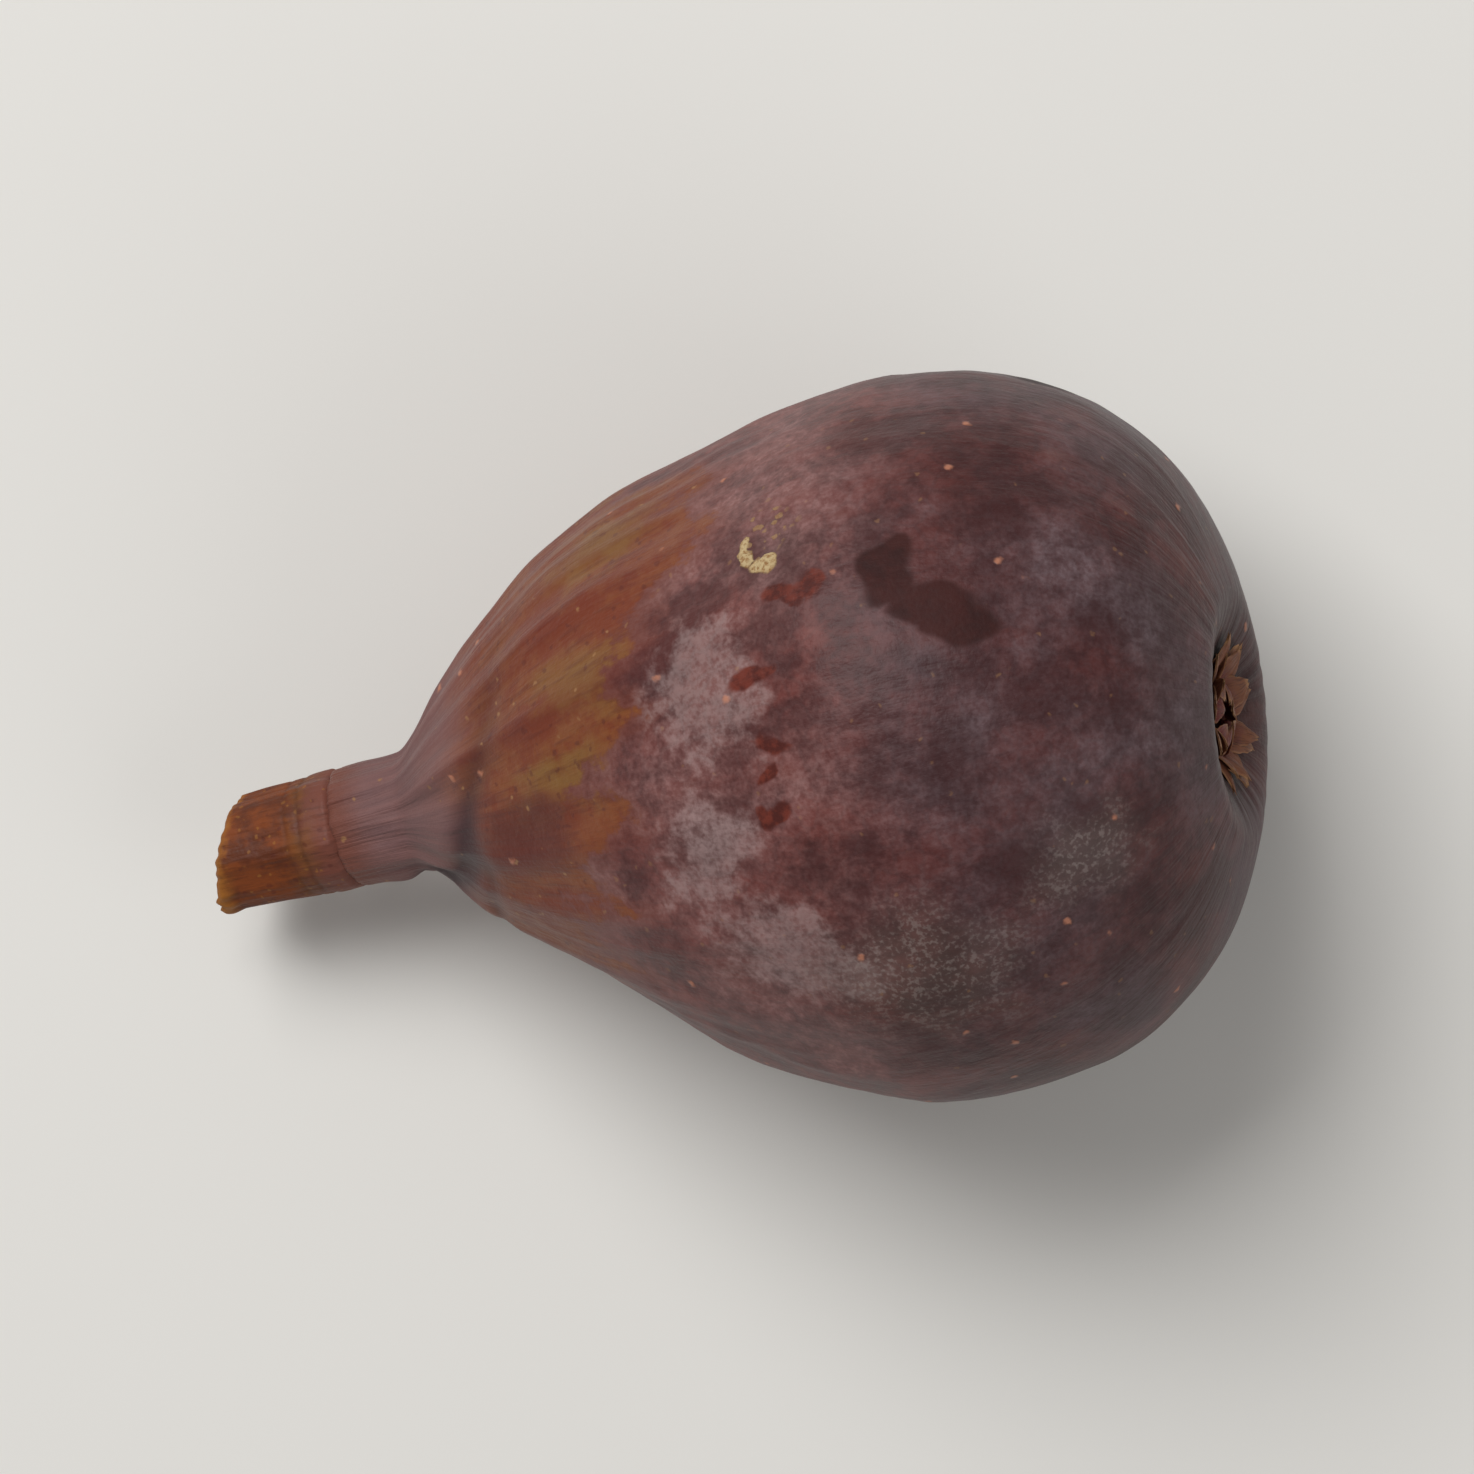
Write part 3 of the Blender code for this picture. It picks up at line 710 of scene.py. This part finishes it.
BARE, BARE_RED, SHADE = tint(40, 14, 12), tint(60, 22, 18), tint(44, 32, 38)
FAINT_RED, FAINT_DARK = tint(106, 46, 34), tint(74, 30, 24)


def skin_finish():
    """Dark wine skin, ochre on the shoulder and rosy on the neck, under a bloom with rubbed spots.

    The skin's own colour is laid first, then the spots where the bloom is rubbed off, the bloom itself, and
    last dust and frost, a painted shade in creases and between puckers, pale specks and the scab's crust.
    """
    mix = Finish("fig_skin")
    place, grain = mix.place(), mix.mark("grain", "Vector")
    uneven = mix.warped(place, 0.7, 0.7)
    broad, blotch = mix.noise(place, 13.0, 2.0), mix.noise(place, 4.0, 4.0)
    powder, dust = mix.noise(place, 0.9, 3.0, 0.6), mix.noise(place, 0.28, 2.0)
    streak, hair = mix.noise(grain, 1.6, 4.0, 0.6), mix.noise(grain, 0.42, 3.0, 0.55)
    shoulder, crest = mix.mark("shoulder"), mix.mark("crest")

    reddened = mix.sum(mix.product(streak, 0.4), blotch, mix.product(powder, 0.4))
    wine = mix.blend(mix.between(reddened, 0.78, 1.08), WINE, RED_WINE)
    wine = mix.blend(mix.between(broad, 0.45, 0.65, 0.0, 0.5), wine, DEEP_WINE)
    wine = mix.blend(mix.product(mix.mark("eye_end"), 0.5), wine, DEEP_WINE)
    mosaic = mix.cells(uneven, 1.5, "DISTANCE_TO_EDGE")
    wine = mix.blend(mix.between(mosaic, 0.0, 0.16, 0.3, 0.0), wine, DEEP_WINE)
    patchy = mix.sum(mix.product(streak, 0.6), mix.product(blotch, 0.7), mix.product(powder, 0.5))
    ochre = mix.blend(mix.between(patchy, 0.78, 1.06, 0.0, 0.85), ORANGE_BROWN, OCHRE)
    olive = mix.sum(mix.mark("olive"), mix.swing(streak, 1.4), mix.swing(powder, 0.8))
    ochre = mix.blend(mix.between(olive, -0.3, 1.1, 0.0, 0.7), ochre, OLIVE)
    ochre = mix.blend(mix.between(hair, 0.5, 0.66, 0.0, 0.35), ochre, DARK_RED)
    red = mix.sum(mix.mark("red"), mix.swing(blotch, 1.4), mix.swing(powder, 0.9))
    ochre = mix.blend(mix.between(red, -0.3, 0.7, 0.0, 0.75), ochre, DARK_RED)
    dots = mix.between(mix.cells(uneven, 0.95), 0.14, 0.26, 0.5, 0.0)
    ochre = mix.blend(dots, ochre, DARK_RED)
    turned = mix.sum(shoulder, mix.swing(streak, 0.7), mix.swing(blotch, 1.1), mix.swing(powder, 0.45))
    colour = mix.blend(mix.between(turned, 0.15, 0.5), wine, RUSSET)
    colour = mix.blend(mix.between(turned, 0.46, 0.62), colour, ochre)
    neck = mix.blend(mix.between(streak, 0.38, 0.62), NECK_RED, NECK_ROSE)
    colour = mix.blend(mix.mark("neck"), colour, neck)
    colour = mix.blend(mix.product(mix.mark("neck_tip"), 0.85), colour, TIP_ORANGE)
    colour = mix.blend(mix.product(crest, 0.35), colour, RED_WINE)

    spots = mix.sum(mix.mark("rubbed"), mix.swing(blotch, 0.35), mix.swing(powder, 0.2))
    kept = mix.between(spots, -0.16, 0.28, 1.0, 0.0)
    bare = mix.product(
        mix.between(kept, 0.0, 1.0, 0.85, 0.0),
        mix.between(mix.mark("faint"), -0.3, 0.0, 1.0, 0.0),
        mix.between(shoulder, 0.0, 0.10, 1.0, 0.3),
    )
    colour = mix.blend(bare, colour, mix.blend(mix.between(reddened, 0.75, 1.05, 0.0, 0.6), BARE, BARE_RED))
    faint = mix.product(mix.between(kept, 0.0, 1.0, 0.8, 0.0), mix.between(mix.mark("faint"), -0.3, 0.0))
    colour = mix.blend(faint, colour, mix.blend(mix.between(powder, 0.4, 0.62), FAINT_DARK, FAINT_RED))
    scuffs = mix.between(mix.sum(streak, mix.product(blotch, 0.5)), 0.86, 1.0, 1.0, 0.65)
    cloud = mix.between(mix.noise(place, 6.0, 3.0), 0.42, 0.6, 0.5, 1.3)
    thinned = mix.between(mix.mark("eye_end"), 0.0, 1.0, 0.0, 0.4)
    thinned = mix.product(thinned, mix.sum(2.0, mix.product(cloud, -1.0)))
    laid = mix.product(
        mix.between(mix.sum(broad, mix.product(blotch, 0.6)), 0.6, 1.0, 0.25, 1.1),
        mix.between(powder, 0.3, 0.7, 0.5, 1.1),
        mix.between(dust, 0.3, 0.7, 0.65, 1.1),
        mix.between(turned, 0.46, 0.6, 1.0, 0.12),
        mix.between(crest, 0.2, 1.0, 1.0, 0.7),
        mix.sum(1.06, mix.product(thinned, -1.0)),
        scuffs,
        kept,
    )
    on_neck = mix.product(mix.mark("neck"), mix.between(mix.mark("neck_tip"), 0.0, 1.0, 0.55, 0.15))
    laid = mix.sum(laid, mix.product(on_neck, kept))
    cool = mix.sum(mix.product(mix.mark("eye_end"), 0.8), broad, mix.product(mix.mark("neck"), 0.5))
    bloom = mix.blend(mix.between(cool, 0.6, 1.4), BLOOM, COOL_BLOOM)
    colour = mix.blend(mix.product(laid, 0.54), colour, bloom)
    dusted = mix.sum(mix.mark("dusted"), mix.swing(blotch, 2.0), mix.swing(powder, 1.2))
    dusted = mix.product(mix.between(dusted, -0.2, 0.5), mix.between(turned, 0.42, 0.56, 1.0, 0.0), kept)
    dusted = mix.product(dusted, mix.between(mix.sum(dust, powder), 0.7, 1.2, 0.45, 1.0))
    colour = mix.blend(mix.product(dusted, 0.38), colour, POWDER)
    mottled = mix.sum(mix.mark("mottled"), mix.swing(blotch, 1.4))
    mottled = mix.between(mottled, -0.2, 0.7)
    colour = mix.blend(mix.product(mottled, 0.4), colour, GREY_OLIVE)
    grains = mix.product(mix.between(mix.sum(dust, mix.product(powder, 0.5)), 0.74, 0.94), mottled)
    colour = mix.blend(mix.product(grains, 0.3), colour, FROST)
    # painted shade in the creases and between the puckers round the eye
    colour = mix.blend(mix.product(mix.mark("crease_shade"), 0.8), colour, SHADE)
    colour = mix.blend(mix.product(mix.mark("eye_rim"), 0.45), colour, DEEP_WINE)
    lenticel = mix.between(mix.cells(uneven, 3.6), 0.03, 0.10, 1.0, 0.0)
    colour = mix.blend(mix.product(lenticel, 0.7), colour, SPECK)
    fleck = mix.between(mix.cells(uneven, 1.7), 0.04, 0.12, 1.0, 0.0)
    colour = mix.blend(mix.product(fleck, mix.between(turned, 0.46, 0.62, 0.3, 0.7)), colour, PALE_SPECK)
    grit = mix.between(mix.sum(mix.cells(uneven, 0.75), mix.product(powder, 0.4)), 0.42, 0.56, 1.0, 0.0)
    grit = mix.product(grit, mix.between(mix.mark("grit"), 0.0, 0.5))
    cork = mix.between(mix.sum(mix.mark("scab"), mix.swing(powder, 0.8)), -0.1, 0.12)
    cork = mix.sum(cork, mix.product(grit, mix.between(cork, 0.0, 1.0, 0.65, 0.0)))
    pale = mix.product(mix.between(dust, 0.32, 0.56), mix.between(mix.mark("scab"), -0.3, 0.4, 0.2, 1.0))
    colour = mix.blend(cork, colour, mix.blend(pale, CRUMB_DARK, CRUMB))
    mix.put(mix.shader.inputs["Base Color"], colour)
    gloss = mix.sum(mix.between(laid, 0.0, 1.0, 0.44, 0.64), mix.product(cork, 0.25), mix.product(bare, 0.25))
    mix.put(mix.shader.inputs["Roughness"], mix.sum(gloss, mix.swing(dust, 0.15)))
    relief = mix.sum(
        mix.product(dust, 0.25), mix.product(powder, 0.3), mix.product(hair, 0.7),
        mix.product(streak, 0.6), mix.product(lenticel, 0.3), mix.product(cork, dust),
    )
    mix.put(mix.shader.inputs["Normal"], mix.bump(relief, 0.12))
    mix.shader.inputs["Specular IOR Level"].default_value = 0.2
    mix.shader.inputs["Sheen Weight"].default_value = 0.05
    mix.shader.inputs["Sheen Roughness"].default_value = 0.5
    return mix.material


BARK, BARK_ORANGE, BARK_GREEN = tint(88, 42, 21), tint(118, 58, 23), tint(104, 84, 42)
BARK_DARK, BARK_ROSE, BARK_FLECK = tint(56, 28, 18), tint(112, 65, 54), tint(146, 96, 42)
RIM_OCHRE, WOOD, PITH = tint(152, 96, 36), tint(94, 50, 30), tint(128, 74, 50)


def stalk_finish():
    """Fleshy orange-brown bark, rosy at its base, with red and ochre flecks, an ochre rim, wood and pith."""
    mix = Finish("fig_stalk")
    place, grain = mix.place(), mix.mark("grain", "Vector")
    uneven = mix.warped(place, 0.5, 0.4)
    blotch, fleck = mix.noise(place, 1.8, 4.0, 0.6), mix.noise(place, 0.45, 3.0)
    fibre, line = mix.noise(grain, 0.9, 4.0, 0.6), mix.noise(grain, 0.25, 3.0)
    length, face = mix.mark("length"), mix.mark("face")
    colour = mix.blend(mix.between(mix.sum(blotch, mix.product(fibre, 0.6)), 0.65, 0.95), BARK, BARK_ORANGE)
    ring = mix.product(mix.between(length, 0.12, 0.24), mix.between(length, 0.3, 0.5, 1.0, 0.0))
    colour = mix.blend(mix.product(ring, mix.between(blotch, 0.35, 0.6), 0.3), colour, BARK_GREEN)
    base = mix.between(mix.sum(length, mix.swing(blotch, 0.4)), 0.12, 0.45, 0.9, 0.0)
    colour = mix.blend(base, colour, BARK_ROSE)
    colour = mix.blend(mix.between(line, 0.52, 0.7, 0.0, 0.3), colour, BARK_DARK)
    colour = mix.blend(mix.between(mix.cells(uneven, 1.0), 0.12, 0.24, 0.45, 0.0), colour, DARK_RED)
    colour = mix.blend(mix.between(mix.cells(uneven, 0.8), 0.10, 0.2, 0.5, 0.0), colour, BARK_FLECK)
    rim = mix.between(mix.sum(length, mix.swing(fleck, 0.12)), 0.9, 0.99, 0.0, 0.7)
    colour = mix.blend(rim, colour, RIM_OCHRE)
    colour = mix.blend(mix.product(mix.mark("lip"), 0.8), colour, RIM_OCHRE)
    colour = mix.blend(mix.product(mix.mark("scar"), 0.3), colour, BARK_DARK)
    wood = mix.blend(mix.between(line, 0.4, 0.65), WOOD, BARK_DARK)
    wood = mix.blend(mix.between(face, 0.5, 0.7), wood, PITH)
    wood = mix.blend(mix.between(face, 0.04, 0.16, 1.0, 0.0), wood, RIM_OCHRE)
    colour = mix.blend(mix.mark("on_face"), colour, wood)
    mix.put(mix.shader.inputs["Base Color"], colour)
    mix.put(mix.shader.inputs["Roughness"], mix.between(blotch, 0.3, 0.7, 0.46, 0.66))
    relief = mix.sum(mix.product(line, 0.5), mix.product(fleck, 0.5), mix.product(fibre, 0.4))
    mix.put(mix.shader.inputs["Normal"], mix.bump(relief, 0.10))
    mix.shader.inputs["Specular IOR Level"].default_value = 0.22
    return mix.material


HUSK, HUSK_PALE = tint(122, 72, 46), tint(168, 122, 80)
HUSK_RED, HUSK_DARK = tint(104, 36, 31), tint(62, 31, 24)


def husk_finish(name, redness):
    """Papery scales: red at the root and tan to pale at the torn tip, with fine lines along them."""
    mix = Finish(name)
    place, grain = mix.place(), mix.mark("grain", "Vector")
    line, fleck = mix.noise(grain, 0.35, 3.0), mix.noise(place, 0.45, 3.0)
    tip, tone = mix.mark("tip"), mix.mark("tone")
    reach = mix.sum(tip, mix.swing(fleck, 0.5), mix.swing(tone, 0.25))
    colour = mix.blend(mix.between(reach, redness - 0.15, redness + 0.35), HUSK_RED, HUSK)
    colour = mix.blend(mix.between(reach, 0.78, 1.05, 0.0, 0.8), colour, HUSK_PALE)
    colour = mix.blend(mix.between(line, 0.5, 0.68, 0.0, 0.6), colour, HUSK_DARK)
    colour = mix.blend(mix.between(mix.mark("edge"), 0.8, 1.0, 0.0, 0.45), colour, HUSK_PALE)
    mix.put(mix.shader.inputs["Base Color"], colour)
    mix.put(mix.shader.inputs["Roughness"], mix.between(fleck, 0.3, 0.7, 0.6, 0.8))
    mix.put(mix.shader.inputs["Normal"], mix.bump(mix.sum(line, mix.product(fleck, 0.5)), 0.08))
    return mix.material


EYE_SHADE_RED, EYE_RED, EYE_ORANGE = tint(52, 18, 18), tint(112, 40, 34), tint(142, 82, 56)


def bed_finish():
    """The moist red floor of the eye, with painted shade between its buds."""
    mix = Finish("eye_floor")
    place = mix.place()
    fleck = mix.noise(place, 0.4, 3.0)
    # painted shade: darker where the floor sinks between the buds
    colour = mix.blend(mix.between(mix.mark("bud"), -0.6, 0.9), EYE_SHADE_RED, EYE_RED)
    colour = mix.blend(mix.between(fleck, 0.52, 0.66, 0.0, 0.5), colour, EYE_ORANGE)
    mix.put(mix.shader.inputs["Base Color"], colour)
    mix.put(mix.shader.inputs["Roughness"], mix.between(fleck, 0.3, 0.7, 0.35, 0.55))
    return mix.material


def make_fig():
    """All pieces of the fig, each with its finish."""
    skin = make_piece("fruit_skin", [skin_sheet()], "fruit")
    skin.data.materials.append(skin_finish())
    bark = make_piece("stalk_bark", [stalk_sheet()], "stalk")
    bark.data.materials.append(stalk_finish())
    bracts = make_piece("stalk_bracts", bract_sheets(), "stalk")
    bracts.data.materials.append(husk_finish("bract_husk", 0.0))
    draw = np.random.default_rng(SCALE_SEED)
    torn = np.random.default_rng(SCALE_SEED + 1)
    outer = scale_sheets(OUTER_ROW, draw, torn)
    inner = scale_sheets(INNER_ROW, draw, torn)
    outer += scale_sheets(MIDDLE_ROW, draw, torn)
    spread = make_piece("eye_outer_scales", outer, "eye_scales")
    spread.data.materials.append(husk_finish("scale_husk", 0.15))
    closing = make_piece("eye_inner_scales", inner, "eye_scales")
    closing.data.materials.append(husk_finish("inner_husk", 0.55))
    bed = make_piece("eye_bed", [bed_sheet()], "eye_scales")
    bed.data.materials.append(bed_finish())


def make_floor():
    """A wide, plain, pale floor."""
    half, height = FLOOR_HALF_WIDTH, FLOOR_HEIGHT
    corners = [(-half, -half, height), (half, -half, height), (half, half, height), (-half, half, height)]
    mesh = bpy.data.meshes.new("floor")
    mesh.from_pydata(corners, [], [(0, 1, 2, 3)])
    finish = Finish("floor")
    finish.shader.inputs["Base Color"].default_value = tint(222, 220, 215)
    finish.shader.inputs["Roughness"].default_value = 0.9
    mesh.materials.append(finish.material)
    floor = bpy.data.objects.new("floor", mesh)
    bpy.context.scene.collection.objects.link(floor)


def make_light(name, light, aim):
    """A square soft light that faces the fig."""
    at, width, power = light
    lamp = bpy.data.lights.new(name, "AREA")
    lamp.size = width
    lamp.energy = power
    held = bpy.data.objects.new(name, lamp)
    held.location = at
    held.rotation_euler = (aim - held.location).to_track_quat("-Z", "Y").to_euler()
    bpy.context.scene.collection.objects.link(held)


def make_camera(middle):
    """A camera straight above the fig, with the neck to the left as it lies."""
    eye = bpy.data.cameras.new("camera")
    eye.lens = LENS
    eye.sensor_width = SENSOR
    held = bpy.data.objects.new("camera", eye)
    held.location = (middle.x, middle.y, middle.z + VIEW_WIDTH * LENS / SENSOR)
    bpy.context.scene.collection.objects.link(held)
    bpy.context.scene.camera = held


def make_studio():
    """Floor, soft light from above and the camera."""
    middle = (CAD_BOX[0] + CAD_BOX[1]) / 2.0
    make_floor()
    make_light("key", KEY_LIGHT, middle)
    make_light("fill", FILL_LIGHT, middle)
    world = bpy.data.worlds.new("studio")
    world.use_nodes = True
    air = world.node_tree.nodes["Background"]
    air.inputs["Color"].default_value = tint(239, 238, 238)
    air.inputs["Strength"].default_value = AIR_STRENGTH
    bpy.context.scene.world = world
    bpy.context.scene.view_settings.view_transform = "Standard"
    make_camera(middle)


make_fig()
make_studio()
